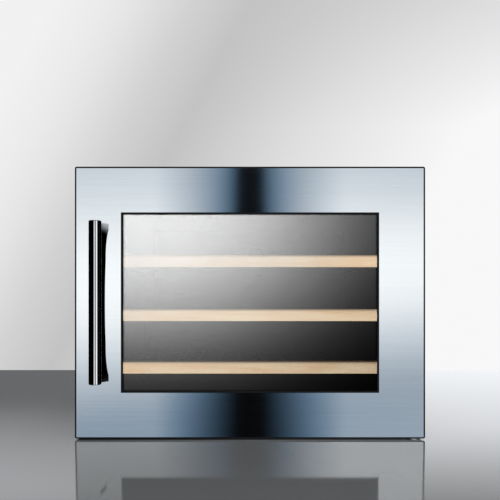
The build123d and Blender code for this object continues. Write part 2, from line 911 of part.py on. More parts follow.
def evaporator_plate():
    half = evap_cover_half - plate_side_air
    rear = liner_rear - evap_post
    front = rear - evap_plate_sheet
    z0 = evap_cover_bottom + plate_floor_air
    z1 = evap_cover_top - plate_roof_air
    plate = block(-half, half, front, rear, z0, z1)
    for side in (-1, 1):
        for z in (z0 + evap_post_inset, z1 - evap_post_inset):
            plate += rod_y(
                side * (half - evap_post_inset), rear, liner_rear, z, evap_post_radius
            )
    end = half - evap_channel_inset
    pitch = (z1 - z0) / (evap_channels + 1)
    for n in range(evap_channels):
        z = z0 + (n + 1) * pitch
        channel = rod_x(-end, end, front, z, evap_channel_radius)
        plate += channel & block(-half, half, front - 2 * evap_channel_radius, rear, z0, z1)
    return plate


def temperature_probe():
    x = probe_inset - evap_cover_half
    z = evap_cover_bottom + probe_inset
    front = evap_front - probe_standoff
    clip = block(
        x - probe_clip_half, x + probe_clip_half, front, evap_front, z - probe_radius, z + probe_radius
    )
    return clip + rod_x(x - probe_half, x + probe_half, front, z, probe_radius)


# ---------------------------------------------------------------- control panel
control_front = cab_front + control_setback
control_rear = control_front + control_depth
control_low = liner_top - control_height
button_z = control_low + control_height / 2
button_level = control_front + control_wall
button_travel = 1.0
button_flange = 1.0
button_air = 0.3
button_stem = 4.0
board_air = 0.2  # pressed button to the board
board_top_air = 1.0
board_front = button_level + button_air + button_stem + button_travel + board_air
board_sheet = 1.6
button_names = ["power_button", "light_button", "temp_up_button", "temp_down_button"]
near_button = display_width / 2 + button_inset
far_button = near_button + button_pitch
button_xs = [-far_button, -near_button, near_button, far_button]
lens_front = control_front + lens_setback


def control_panel():
    half = control_width / 2
    panel = block(-half, half, control_front, control_rear, control_low, liner_top)
    panel -= block(
        -half + control_wall, half - control_wall, button_level, control_rear - control_wall,
        control_low + control_wall, liner_top + 1,
    )
    for x in button_xs:
        hole = button_radius + button_clearance
        panel -= rod_y(x, control_front - 1, button_level + 1, button_z, hole)
    panel -= block(
        -display_width / 2, display_width / 2, control_front - 1, button_level + 1,
        button_z - display_height / 2, button_z + display_height / 2,
    )
    panel -= block(
        -lens_width / 2, lens_width / 2, lens_front, lens_front + lens_depth,
        control_low - 1, control_low + control_wall + 1,
    )
    return panel


def control_display():
    module = block(
        -display_width / 2, display_width / 2, control_front + lip_setback, board_front,
        button_z - display_height / 2, button_z + display_height / 2,
    )
    half = control_width / 2 - control_wall
    board = block(
        -half, half, board_front, board_front + board_sheet,
        control_low + control_wall, liner_top - board_top_air,
    )
    return module + board


def control_button(x):
    front = control_front - button_proud
    flange = button_level + button_air
    cap = rod_y(x, front, flange, button_z, button_radius)
    cap += rod_y(x, flange, flange + button_flange, button_z, button_radius + 1)
    return cap + rod_y(x, flange + button_flange, flange + button_stem, button_z, button_radius / 2)


def led_lens():
    low = control_low + lip_setback
    seat = control_low + control_wall
    rear = lens_front + lens_depth
    half = lens_width / 2
    lens = block(-half, half, lens_front, rear, low, seat)
    rim = lens_rim
    return lens + block(-half - rim, half + rim, lens_front - rim, rear + rim, seat, seat + lens_sheet)


# ---------------------------------------------------------------- compressor bay
bay_mid = (bay_front + shell_rear) / 2
plate_low = inside_low + grommet_height
plate_high = plate_low + plate_sheet
compressor_x = gland_x - box_left - compressor_gap - plate_half
stub_radius = 4.5
stub_length = 12.0
stub_x = compressor_x - compressor_radius - stub_length
discharge = (bay_mid - 19.0, 60.0)
suction = (bay_mid + 16.0, 90.0)
process_level = 80.0  # the closed filling tube on the compressor's right
process_radius = 3.5
terminal_inset = 20.0  # the terminal cover reaches this close to the compressor's middle
terminal_proud = 16.0
terminal_front = 45.0  # in front of the bay's middle
terminal_rear = 12.0
terminal_low = 60.0
terminal_high = 110.0
compressor_top = plate_high + compressor_height
grommet_places = [
    (compressor_x + sx * mount_half, bay_mid + sd * mount_half_depth)
    for sx in (-1, 1)
    for sd in (-1, 1)
]


def compressor():
    shell = rod_z(compressor_x, bay_mid, plate_high, compressor_top, compressor_radius)
    rims = shell.edges().filter_by(GeomType.CIRCLE).sort_by(Axis.Z)
    shell = fillet(rims[-1], compressor_dome)
    for depth, z in (discharge, suction):
        shell += rod_x(stub_x, compressor_x, depth, z, stub_radius)
    side = compressor_x + compressor_radius
    shell += rod_x(compressor_x, side + stub_length, bay_mid, process_level, process_radius)
    shell += block(
        compressor_x + terminal_inset, side + terminal_proud,
        bay_mid - terminal_front, bay_mid - terminal_rear, terminal_low, terminal_high,
    )
    plate = block(
        compressor_x - plate_half, compressor_x + plate_half,
        bay_mid - plate_half_depth, bay_mid + plate_half_depth, plate_low, plate_high,
    )
    return shell + plate


def compressor_mounts():
    mounts = []
    for x, depth in grommet_places:
        mounts.append(rod_z(x, depth, inside_low, plate_low, grommet_radius))
    return group(mounts)


condenser_left = -inside_half + condenser_side_air
condenser_right = condenser_left + condenser_width
condenser_front = bay_front + condenser_air
condenser_rear = shell_rear - condenser_air
condenser_low = inside_low + condenser_air
condenser_top = condenser_low + condenser_height
condenser_mid = (condenser_left + condenser_right) / 2
hot_depth = discharge[0]
liquid_depth = bay_mid + 41.0
pipe_level = bay_top - sheet - tube_radius - pipe_roof_air
pipe_end = condenser_top + header_rise
header_low = condenser_top - header_drop


def condenser_coil():
    pitch = (condenser_rear - condenser_front - end_sheet) / (condenser_fins - 1)
    coil = Part()
    for n in range(condenser_fins):
        end = n in (0, condenser_fins - 1)
        thickness = end_sheet if end else fin_sheet
        start = condenser_front + n * pitch
        foot = inside_low if end else condenser_low
        coil += block(condenser_left, condenser_right, start, start + thickness, foot, condenser_top)
    for row in range(coil_rows):
        z = condenser_low + coil_floor_air + row * coil_row_pitch
        for x in (condenser_left + coil_inset, condenser_right - coil_inset):
            coil += rod_y(x, condenser_front, condenser_rear, z, coil_radius)
    for depth in (hot_depth, liquid_depth):
        coil += rod_z(condenser_mid, depth, header_low, pipe_end, stub_radius)
        coil += block(
            condenser_mid - header_half, condenser_mid + header_half, depth - pitch, depth + pitch,
            header_low, header_low + header_height,
        )
    return coil


shroud_left = condenser_right + runner_air
shroud_right = shroud_left + shroud_thickness
shroud_top = pipe_level - tube_radius - pipe_air
shroud_low = inside_low + condenser_air
condenser_fan_z = (shroud_low + shroud_top) / 2
cond_pin = 2.5
cond_hub = 18.0
cond_rotor_length = 13.0
cond_blade_air = 2.5


def facing_left(x, depth, z):
    """Puts a fan made about Z so that its motor is on the right and its blades face left."""
    return Pos(x, face_y + depth, z) * Rot(0, -90, 0)


def condenser_fan_shroud():
    body = fan_body(
        shroud_top - shroud_low, shroud_width, shroud_thickness, fan_bore, cond_hub - 1, cond_pin,
        cond_rotor_length - rotor_end,
    )
    shroud = facing_left(shroud_right, bay_mid, condenser_fan_z) * body
    half = shroud_width / 2
    return shroud + block(
        shroud_left, shroud_right, bay_mid - half, bay_mid + half, inside_low, shroud_low
    )


def condenser_fan_rotor():
    rotor = fan_rotor(
        cond_hub, cond_rotor_length, fan_bore - cond_blade_air, cond_pin,
        cond_blade_count, cond_blade_chord,
    )
    return facing_left(shroud_right - fan_strut - fan_air, bay_mid, condenser_fan_z) * rotor


drier_x = -100.0
drier_radius = 9.0
drier_low = 50.0
drier_high = 112.0


def tube(points, bends):
    """A round tube along straight runs joined by tangent arcs."""
    places = [(x, face_y + depth, z) for x, depth, z in points]
    path = FilletPolyline(*places, radius=bends)
    start = Plane(places[0], z_dir=path % 0)
    return sweep(start * Circle(tube_radius), path)


def refrigerant_lines():
    depth, z = discharge
    hot_x = stub_x - hot_run
    hot = tube(
        [(stub_x, depth, z), (hot_x, depth, z), (hot_x, depth, pipe_level),
         (condenser_mid, depth, pipe_level), (condenser_mid, depth, pipe_end)],
        [tube_bend, tube_bend, header_bend],
    )
    liquid = tube(
        [(condenser_mid, liquid_depth, pipe_end), (condenser_mid, liquid_depth, pipe_level),
         (drier_x, liquid_depth, pipe_level), (drier_x, liquid_depth, drier_high)],
        [header_bend, tube_bend],
    )
    capillary = tube(
        [(drier_x, liquid_depth, drier_low), (drier_x, liquid_depth, drier_low - capillary_drop),
         (drier_x, bay_front, drier_low - capillary_drop)],
        [tube_bend],
    )
    depth, z = suction
    cold_x = stub_x - cold_run
    cold = tube(
        [(stub_x, depth, z), (cold_x, depth, z), (cold_x, depth, bay_top - sheet)],
        [tube_bend],
    )
    return group([hot, liquid, capillary, cold])


def filter_drier():
    low, high = drier_low + drier_neck, drier_high - drier_neck
    body = rod_z(drier_x, liquid_depth, low, high, drier_radius)
    body = fillet(body.edges().filter_by(GeomType.CIRCLE), drier_round)
    return body + rod_z(drier_x, liquid_depth, drier_low, drier_high, stub_radius)


def drip_tray():
    low = compressor_top
    high = low + tray_height
    tray = block(
        compressor_x - tray_half, compressor_x + tray_half,
        bay_mid - tray_half_depth, bay_mid + tray_half_depth, low, high,
    )
    x, depth = tray_half - tray_wall, tray_half_depth - tray_wall
    return tray - block(
        compressor_x - x, compressor_x + x, bay_mid - depth, bay_mid + depth,
        low + tray_wall, high + 1,
    )


def control_box():
    """The electronics box behind the gland, clear of the rear foot's stud."""
    rear = body_rear - gland_length - runner_air
    return block(
        gland_x - box_left, gland_x + box_right, bay_front + box_setback, rear,
        inside_low, inside_low + box_height,
    )


# ---------------------------------------------------------------- write every node
save("door_panel", door_panel())
save("door_frame", door_frame())
save("outer_glass", outer_glass())
save("glass_spacer", glass_spacer())
save("glass_seal", glass_seal())
save("inner_glass", inner_glass())
save("door_foam", door_foam())
save("door_liner", door_liner())
save("door_gasket", door_gasket())
save("handle_bar", handle_bar())
save("handle_arch", handle_arch())
save("handle_screws", handle_screws())
save("hinge_bushes", hinge_bushes())
save("hinge_brackets", hinge_brackets())
save("hinge_pins", hinge_pins())
save("side_panel_right", side_panel())
save("side_panel_left", flip_x(side_panel()))
save("top_panel", top_panel())
save("base_pan", base_pan())
save("back_panel", back_panel())
save("bay_bulkhead", bay_bulkhead())
save("bay_cover", bay_cover())
save("power_gland", power_gland())
save("front_collar", front_collar())
save("inner_liner", inner_liner())
save("insulation_foam", insulation_foam())
save("niche_brackets", niche_brackets())
save("cabinet_screws", cabinet_screws())
save("front_foot_left", front_foot(*foot_places[0]))
save("front_foot_right", front_foot(*foot_places[1]))
save("rear_feet", rear_feet())
for number in range(len(shelf_bottoms)):
    save(f"shelf_rail_{number + 1}", shelf_rail(number))
    save(f"shelf_rack_{number + 1}", shelf_rack(number))
save("shelf_runners", shelf_runners())
save("evap_fan_housing", evap_fan_housing())
save("evap_fan_rotor", evap_fan_rotor())
save("evaporator_cover", evaporator_cover())
save("evaporator_plate", evaporator_plate())
save("temperature_probe", temperature_probe())
save("control_panel", control_panel())
save("control_display", control_display())
save("led_lens", led_lens())
for name, x in zip(button_names, button_xs):
    save(name, control_button(x))
save("compressor", compressor())
save("compressor_mounts", compressor_mounts())
save("condenser_coil", condenser_coil())
save("condenser_fan_shroud", condenser_fan_shroud())
save("condenser_fan_rotor", condenser_fan_rotor())
save("refrigerant_lines", refrigerant_lines())
save("filter_drier", filter_drier())
save("drip_tray", drip_tray())
save("control_box", control_box())
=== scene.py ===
"""Finishes, stage and camera for a built-in wine cooler, laid out as a Blender add-on."""

import math

import bpy
import bmesh
from bpy.props import FloatProperty, FloatVectorProperty, PointerProperty
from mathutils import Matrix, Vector


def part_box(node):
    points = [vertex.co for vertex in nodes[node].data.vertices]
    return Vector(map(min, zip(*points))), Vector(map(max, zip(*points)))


bl_info = {
    "name": "Wine cooler finishes",
    "version": (1, 0, 0),
    "blender": (4, 5, 0),
    "location": "View3D > Sidebar > Wine cooler",
    "description": "Dresses the packed wine cooler and sets up its studio",
    "category": "Object",
}

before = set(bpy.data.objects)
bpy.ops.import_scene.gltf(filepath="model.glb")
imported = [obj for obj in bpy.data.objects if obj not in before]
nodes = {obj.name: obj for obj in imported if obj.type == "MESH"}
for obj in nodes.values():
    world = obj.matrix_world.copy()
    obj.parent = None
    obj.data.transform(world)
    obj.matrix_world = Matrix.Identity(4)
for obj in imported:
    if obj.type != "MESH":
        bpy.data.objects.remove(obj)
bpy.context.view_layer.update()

# ---------------------------------------------------------------- places read from the frame
panel_low, panel_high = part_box("door_panel")
face_y = panel_low.y
door_middle = Vector((0, face_y, (panel_low.z + panel_high.z) / 2))

RAILS = ["shelf_rail_1", "shelf_rail_2", "shelf_rail_3"]
HANDLE = ["handle_bar", "handle_arch"]
BUTTONS = ["power_button", "light_button", "temp_up_button", "temp_down_button"]
RACKS = ["shelf_rack_1", "shelf_rack_2", "shelf_rack_3"]
FEET = ["front_foot_left", "front_foot_right", "rear_feet"]

IN_PIECE = 3  # outputs of the Texture Coordinate node and of the Light Path node
SHADOW_RAY = 1
BOUNCES = 9


# ---------------------------------------------------------------- shader expressions
class Value:
    """A shader socket; sums and products of such sockets add their Math nodes."""

    def __init__(self, recipe, socket):
        self.recipe = recipe
        self.socket = socket

    def math(self, operation, *values):
        return self.recipe.node(
            "ShaderNodeMath", {"operation": operation}, dict(enumerate(values))
        )

    def __add__(self, other):
        return self.math("ADD", self, other)

    def __radd__(self, other):
        return self.math("ADD", other, self)

    def __sub__(self, other):
        return self.math("SUBTRACT", self, other)

    def __rsub__(self, other):
        return self.math("SUBTRACT", other, self)

    def __mul__(self, other):
        return self.math("MULTIPLY", self, other)

    def __truediv__(self, other):
        return self.math("DIVIDE", self, other)

    def __pow__(self, other):
        return self.math("POWER", self, other)

    def __abs__(self):
        return self.math("ABSOLUTE", self)

    def exp(self):
        return self.math("EXPONENT", self)

    def sine(self):
        return self.math("SINE", self)

    def at_most(self, other):
        return self.math("MINIMUM", self, other)

    def at_least(self, other):
        return self.math("MAXIMUM", self, other)

    def above(self, level, softness):
        """0 below the level and 1 above it, with a soft step between."""
        return self.recipe.node(
            "ShaderNodeMapRange",
            {"interpolation_type": "SMOOTHSTEP"},
            {"Value": self, "From Min": level - softness, "From Max": level + softness},
        )


class Recipe:
    """One node tree: it makes nodes, and ends in a surface or a background."""

    def __init__(self, tree):
        self.tree = tree
        tree.nodes.clear()
        self.place = None

    def node(self, kind, settings=None, sockets=None, output=0):
        """Adds a node with its settings set first, then its sockets' values or links."""
        made = self.tree.nodes.new(kind)
        for name, value in (settings or {}).items():
            if name == "stops":
                ramp = made.color_ramp.elements
                while len(ramp) < len(value):
                    ramp.new(1.0)
                for stop, (position, colour) in zip(ramp, value):
                    stop.position = position
                    stop.color = (*colour, 1.0)
            else:
                setattr(made, name, value)
        for key, value in (sockets or {}).items():
            if isinstance(value, Value):
                self.tree.links.new(value.socket, made.inputs[key])
            else:
                made.inputs[key].default_value = value
        return Value(self, made.outputs[output]) if made.outputs else None

    def point(self):
        """The surface point in metres, in the piece's own space."""
        if self.place is None:
            self.place = self.node("ShaderNodeTexCoord", output=IN_PIECE)
        return self.place

    def axes(self, vector=None):
        """The three parts of a vector, as values."""
        split = self.node("ShaderNodeSeparateXYZ", None, {0: vector or self.point()})
        return [Value(self, socket) for socket in split.socket.node.outputs]

    def stretched(self, x, y, z):
        """The surface point with each axis scaled."""
        return self.node(
            "ShaderNodeVectorMath", {"operation": "MULTIPLY"}, {0: self.point(), 1: (x, y, z)}
        )

    def noise(self, scale, detail=2.0, rough=0.5, vector=None, twist=0.0):
        return self.node(
            "ShaderNodeTexNoise",
            None,
            {"Vector": vector or self.point(), "Scale": scale, "Detail": detail,
             "Roughness": rough, "Distortion": twist},
        )

    def cells(self, scale, output=0):
        """Cells: output 0 is the distance from a cell's middle, output 1 the cell's own colour."""
        sockets = {"Vector": self.point(), "Scale": scale, "Randomness": 1.0}
        return self.node("ShaderNodeTexVoronoi", {"feature": "F1"}, sockets, output)

    def mix(self, factor, first, second):
        """A colour between two colours."""
        made = self.tree.nodes.new("ShaderNodeMix")
        made.data_type = "RGBA"
        inputs = [s for s in made.inputs if s.enabled]
        for socket, value in zip(inputs, (factor, first, second)):
            if isinstance(value, Value):
                self.tree.links.new(value.socket, socket)
            else:
                socket.default_value = (*value, 1.0) if isinstance(value, tuple) else value
        return Value(self, [s for s in made.outputs if s.enabled][0])

    def bump(self, height, distance):
        """A normal tilted by the height, which 1.0 makes as tall as the distance."""
        sockets = {"Height": height, "Distance": distance, "Strength": 1.0}
        return self.node("ShaderNodeBump", None, sockets)

    def principled(self, **sockets):
        named = {key.replace("_", " "): value for key, value in sockets.items()}
        for key, value in named.items():
            if isinstance(value, tuple) and len(value) == 3 and "Color" in key:
                named[key] = (*value, 1.0)
        return self.node("ShaderNodeBsdfPrincipled", None, named)

    def surface(self, shader):
        self.node("ShaderNodeOutputMaterial", None, {"Surface": shader})


def new_material(name):
    material = bpy.data.materials.new(name)
    material.use_nodes = True
    return material, Recipe(material.node_tree)


def dress(material, slot, *names):
    """Gives CAD nodes their finish."""
    for name in names:
        node = nodes[name]
        node.data.materials.clear()
        node.data.materials.append(material)


def rgb(colour):
    return tuple(colour)[:3]


def tinted(colour, amount):
    """The colour made darker or lighter by a factor."""
    return tuple(channel * amount for channel in rgb(colour))


# ---------------------------------------------------------------- finishes
def brushed_steel(name, colour, roughness, anisotropy, low, high, shaded_hem):
    """Sheet brushed from side to side, with painted shade along its sides and top: a thin black
    band, not metal, for its shadowed rolled edge.
    """
    material, recipe = new_material(name)
    x, _, z = recipe.axes()
    from_side = (high.x - low.x) / 2 - abs(x - (low.x + high.x) / 2)
    # painted shade: within the given width of the sides and top the sheet turns black and loses its
    # metal, for the shadowed rolled edge
    sheet = from_side.at_most(high.z - z).above(shaded_hem, 0.00005)
    fine = recipe.noise(1.0, 3.0, 0.6, recipe.stretched(14.0, 900.0, 2400.0))
    coarse = recipe.noise(1.0, 2.0, 0.5, recipe.stretched(5.0, 200.0, 420.0))
    streaks = fine * 0.6 + coarse * 0.4
    brushed = recipe.mix(streaks, tinted(colour, 0.89), tinted(colour, 1.06))
    recipe.surface(
        recipe.principled(
            Base_Color=recipe.mix(sheet, (0.003, 0.003, 0.003), brushed),
            Metallic=sheet,
            Roughness=roughness - 0.05 + streaks * 0.1,
            Anisotropic=anisotropy,
            Anisotropic_Rotation=0.25,
            Normal=recipe.bump(streaks, 0.00002),
        )
    )
    return material


def moulded_plastic(name, colour, roughness, grain=2600.0, depth=0.00002, specular=0.5):
    """Injection-moulded plastic with a fine eroded grain and a soft mottling."""
    material, recipe = new_material(name)
    eroded = recipe.noise(grain, 2.0, 0.6)
    mottle = recipe.noise(55.0, 3.0)
    recipe.surface(
        recipe.principled(
            Base_Color=recipe.mix(mottle, tinted(colour, 0.85), tinted(colour, 1.15)),
            Roughness=roughness - 0.06 + mottle * 0.12,
            Specular_IOR_Level=specular,
            Normal=recipe.bump(eroded, depth),
        )
    )
    return material


def painted_metal(name, colour, roughness, peel=700.0, depth=0.00004, specular=0.5):
    """Baked paint with orange peel and small rubbed patches."""
    material, recipe = new_material(name)
    skin = recipe.noise(peel, 2.0, 0.55)
    rubbed = recipe.noise(18.0, 4.0, 0.6)
    recipe.surface(
        recipe.principled(
            Base_Color=recipe.mix(rubbed, tinted(colour, 0.9), tinted(colour, 1.12)),
            Roughness=roughness - 0.07 + rubbed * 0.14,
            Specular_IOR_Level=specular,
            Normal=recipe.bump(skin, depth),
        )
    )
    return material


def rubber(name, colour, roughness=0.62):
    material, recipe = new_material(name)
    bloom = recipe.noise(40.0, 3.0)
    pores = recipe.noise(4200.0, 2.0, 0.7)
    recipe.surface(
        recipe.principled(
            Base_Color=recipe.mix(bloom, tinted(colour, 0.8), tinted(colour, 1.35)),
            Roughness=roughness + bloom * 0.12,
            Specular_IOR_Level=0.35,
            Normal=recipe.bump(pores, 0.00003),
        )
    )
    return material


def black_chrome(name, colour, roughness, end_highlight=0.0):
    """Dark mirror plating with hairline scratches; the last argument sets how strongly its ends get
    a painted highlight, a pale grey that is not metal.
    """
    material, recipe = new_material(name)
    hairs = recipe.noise(1.0, 2.0, 0.7, recipe.stretched(2600.0, 2600.0, 30.0), 0.4)
    haze = recipe.noise(30.0, 3.0)
    plating = recipe.mix(haze, tinted(colour, 0.93), tinted(colour, 1.05))
    height = recipe.axes()[2] - door_middle.z
    top_end, low_end, fade = 0.120, 0.124, 0.010
    # painted highlight: the top end, and the lower end a fifth as much, turn pale grey and lose
    # their metal, standing in for the bright reflection on the arch's flared top
    ends = height.above(top_end, fade) + (0.0 - height).above(low_end, fade) * 0.2
    recipe.surface(
        recipe.principled(
            Base_Color=recipe.mix(ends * end_highlight, plating, (0.68, 0.69, 0.71)),
            Metallic=1.0 - ends * end_highlight,
            Specular_Tint=(0.0, 0.0, 0.0, 1.0),
            Roughness=roughness + haze * 0.02 + hairs.above(0.66, 0.05) * 0.03,
            Normal=recipe.bump(hairs, 0.000001),
        )
    )
    return material


def plated_steel(name, colour, roughness):
    """Zinc plating, a little cloudy."""
    material, recipe = new_material(name)
    cloud = recipe.noise(260.0, 3.0, 0.6)
    recipe.surface(
        recipe.principled(
            Base_Color=recipe.mix(cloud, tinted(colour, 0.82), tinted(colour, 1.06)),
            Metallic=1.0,
            Roughness=roughness - 0.05 + cloud * 0.14,
            Normal=recipe.bump(cloud, 0.00001),
        )
    )
    return material


def galvanised_sheet(name, colour, roughness):
    """Hot-dip galvanised sheet with its spangle."""
    material, recipe = new_material(name)
    flakes = recipe.cells(150.0, output=1)
    tone = recipe.axes(flakes)[0]
    cloud = recipe.noise(12.0, 3.0)
    recipe.surface(
        recipe.principled(
            Base_Color=recipe.mix(
                tone * 0.6 + cloud * 0.4, tinted(colour, 0.78), tinted(colour, 1.15)
            ),
            Metallic=0.9,
            Roughness=roughness + tone * 0.16,
            Normal=recipe.bump(tone, 0.00001),
        )
    )
    return material


def copper_tube(name, colour):
    """Drawn copper with tarnish."""
    material, recipe = new_material(name)
    tarnish = recipe.noise(35.0, 4.0, 0.65)
    drawn = recipe.noise(900.0, 2.0)
    recipe.surface(
        recipe.principled(
            Base_Color=recipe.mix(tarnish.above(0.52, 0.16), rgb(colour), tinted(colour, 0.45)),
            Metallic=1.0,
            Roughness=0.22 + tarnish * 0.25,
            Normal=recipe.bump(drawn, 0.00001),
        )
    )
    return material


def hard_foam(name, colour):
    """Blown polyurethane with its small cells."""
    material, recipe = new_material(name)
    bubbles = recipe.cells(800.0)
    patch = recipe.noise(20.0, 3.0)
    recipe.surface(
        recipe.principled(
            Base_Color=recipe.mix(patch, tinted(colour, 0.85), rgb(colour)),
            Roughness=0.9,
            Specular_IOR_Level=0.2,
            Normal=recipe.bump(bubbles, 0.0003),
        )
    )
    return material


def beech_wood(name, pale, dark):
    """Beech cut along its grain, with growth bands and the small dark flecks of its rays."""
    material, recipe = new_material(name)
    broad = recipe.noise(1.0, 1.0, 0.5, recipe.stretched(7.0, 30.0, 30.0), 0.3)
    bands = recipe.noise(1.0, 4.0, 0.55, recipe.stretched(9.0, 150.0, 150.0), 0.6)
    fibre = recipe.noise(1.0, 3.0, 0.6, recipe.stretched(26.0, 1500.0, 1500.0))
    rays = recipe.noise(1.0, 1.0, 0.5, recipe.stretched(330.0, 2300.0, 2300.0))
    fleck = rays.above(0.67, 0.04)
    grain = (broad * 0.5 + bands * 0.5).above(0.5, 0.16) * 0.75 + fibre * 0.25
    tone = recipe.mix(grain, rgb(pale), rgb(dark))
    recipe.surface(
        recipe.principled(
            Base_Color=recipe.mix(fleck * 0.35, tone, tinted(dark, 0.6)),
            Roughness=0.42 + fibre * 0.12 + fleck * 0.08,
            Specular_IOR_Level=0.4,
            Coat_Weight=0.15,
            Coat_Roughness=0.3,
            Normal=recipe.bump(fibre - fleck * 0.5, 0.00006),
        )
    )
    return material


def window_glass(name, tint, mirror):
    """A clear pane with a film of dust, which lamps don't shine through.

    It mirrors the studio as many times as strongly as plain glass as the mirror value says.
    """
    material, recipe = new_material(name)
    film = recipe.noise(9.0, 3.0)
    edge = recipe.node("ShaderNodeFresnel", None, {"IOR": 1.5})
    lamp_ray = recipe.node("ShaderNodeLightPath", output=SHADOW_RAY)
    clear = recipe.node("ShaderNodeBsdfTransparent", None, {"Color": (*rgb(tint), 1.0)})
    gloss = recipe.node(
        "ShaderNodeBsdfAnisotropic",
        {"distribution": "GGX"},
        {"Color": (1, 1, 1, 1), "Roughness": 0.0, "Normal": recipe.bump(film, 0.000002)},
    )
    shine = (edge * (film * 0.06 + mirror)).at_least(lamp_ray)
    recipe.surface(recipe.node("ShaderNodeMixShader", None, {0: shine, 1: clear, 2: gloss}))
    return material


def frosted_lens(name, colour):
    """A milky diffuser with fine ribs."""
    material, recipe = new_material(name)
    ribs = (recipe.axes()[0] * 3200.0).sine()
    recipe.surface(
        recipe.principled(
            Base_Color=rgb(colour),
            Roughness=0.35 + ribs * 0.05,
            Subsurface_Weight=0.3,
            Normal=recipe.bump(ribs, 0.0001),
        )
    )
    return material


# ---------------------------------------------------------------- settings
class StageSettings(bpy.types.PropertyGroup):
    """Camera, floor and soft boxes."""

    camera_distance: FloatProperty(
        name="Camera distance", description="From the door's face", default=1.0, unit="LENGTH"
    )
    camera_lens: FloatProperty(
        name="Lens", description="Focal length in millimetres", default=42.76
    )
    camera_shift: FloatProperty(
        name="Shift", description="How far the frame is moved up, as a share of its width",
        default=0.1052,
    )
    floor_depth: FloatProperty(
        name="Floor behind", description="Floor behind the door's face", default=1.036, unit="LENGTH"
    )
    # painted light and shade: the floor's two colours, darker on the left and lighter on the right,
    # stand in for how the studio's light falls on it
    shaded_left_tone: FloatVectorProperty(
        name="Floor, left", description="Floor colour on the left",
        subtype="COLOR", default=(0.102, 0.105, 0.108),
    )
    lit_right_tone: FloatVectorProperty(
        name="Floor, right", description="Floor colour on the right",
        subtype="COLOR", default=(0.124, 0.127, 0.130),
    )
    card_distance: FloatProperty(
        name="Soft box distance", description="In front of the door", default=0.75, unit="LENGTH"
    )


class DoorSettings(bpy.types.PropertyGroup):
    """Stainless panel, black trim, glass and handle."""

    steel: FloatVectorProperty(
        name="Stainless", description="Colour of the brushed panel",
        subtype="COLOR", default=(0.80, 0.84, 0.86),
    )
    steel_roughness: FloatProperty(
        name="Stainless roughness", description="Roughness of the brushed panel",
        default=0.11, min=0, max=1,
    )
    # painted shade: width of the black band painted along the panel's sides and top, for its
    # shadowed rolled edge
    shaded_hem: FloatProperty(
        name="Hem", description="Blackened edge of the panel", default=0.00035, unit="LENGTH"
    )
    trim: FloatVectorProperty(
        name="Trim", description="Black plastic of the frame",
        subtype="COLOR", default=(0.010, 0.011, 0.012),
    )
    glass_tint: FloatVectorProperty(
        name="Glass tint", description="What one face of a pane lets through",
        subtype="COLOR", default=(0.99, 1.0, 0.995),
    )
    chrome: FloatVectorProperty(
        name="Handle", description="Black chrome",
        subtype="COLOR", default=(0.013, 0.013, 0.0135),
    )


class CabinetSettings(bpy.types.PropertyGroup):
    """Cabinet, liner, shelves and compressor bay."""

    paint: FloatVectorProperty(
        name="Cabinet paint", description="Paint of the outer panels",
        subtype="COLOR", default=(0.030, 0.031, 0.034),
    )
    liner: FloatVectorProperty(
        name="Liner", description="Black liner",
        subtype="COLOR", default=(0.010, 0.0105, 0.011),
    )
    wood_pale: FloatVectorProperty(
        name="Beech, pale", description="Early wood",
        subtype="COLOR", default=(0.79, 0.62, 0.45),
    )
    wood_dark: FloatVectorProperty(
        name="Beech, dark", description="Late wood",
        subtype="COLOR", default=(0.70, 0.45, 0.26),
    )
    zinc: FloatVectorProperty(
        name="Galvanised sheet", description="Back, base and bay",
        subtype="COLOR", default=(0.50, 0.51, 0.52),
    )
    copper: FloatVectorProperty(
        name="Copper", description="Refrigerant lines",
        subtype="COLOR", default=(0.80, 0.42, 0.26),
    )


# ---------------------------------------------------------------- stage
def stage_plane(name, centre, width, height, upright):
    """A rectangle, facing -Y if upright and else facing up."""
    mesh = bpy.data.meshes.new(name)
    build = bmesh.new()
    along = Vector((width / 2, 0, 0))
    up = Vector((0, 0, height / 2)) if upright else Vector((0, height / 2, 0))
    corners = [centre - along - up, centre + along - up, centre + along + up, centre - along + up]
    build.faces.new([build.verts.new(c) for c in corners])
    build.to_mesh(mesh)
    build.free()
    plane = bpy.data.objects.new(name, mesh)
    bpy.context.scene.collection.objects.link(plane)
    return plane


def object_set(name, members):
    """A collection of lit or shading objects for a lamp, outside the scene."""
    made = bpy.data.collections.new(name)
    for member in members:
        made.objects.link(member)
    return made


def light_only(source, *names):
    """The lamp or card lights nothing but the named nodes."""
    chosen = object_set(source.name + "_lit", [nodes[name] for name in names])
    source.light_linking.receiver_collection = chosen


def leave_dark(source, *others):
    """The lamp lights everything except these objects."""
    spared = object_set(source.name + "_spared", others)
    source.light_linking.receiver_collection = spared
    for entry in spared.collection_objects:
        entry.light_linking.link_state = "EXCLUDE"


def reflection_card(name, distance, receivers, size, pattern):
    """A soft box in front of the door that only the named pieces mirror.

    The pattern gets the mirrored place on the door's face, from its middle, in metres.
    """
    centre = door_middle - Vector((0, distance, 0))
    card = stage_plane(name, centre, size, size, True)
    material, recipe = new_material(name)
    x, _, z = recipe.axes()
    spread = 1 + distance / bpy.context.scene.cooler_stage.camera_distance
    colour, strength = pattern(recipe, x / spread, (z - door_middle.z) / spread)
    glow = recipe.node("ShaderNodeEmission", None, {"Color": colour, "Strength": strength})
    clear = recipe.node("ShaderNodeBsdfTransparent")
    recipe.surface(recipe.node("ShaderNodeAddShader", None, {0: glow, 1: clear}))
    card.data.materials.append(material)
    card.visible_camera = False
    card.visible_diffuse = False
    card.visible_shadow = False
    card.visible_transmission = False
    light_only(card, *receivers)


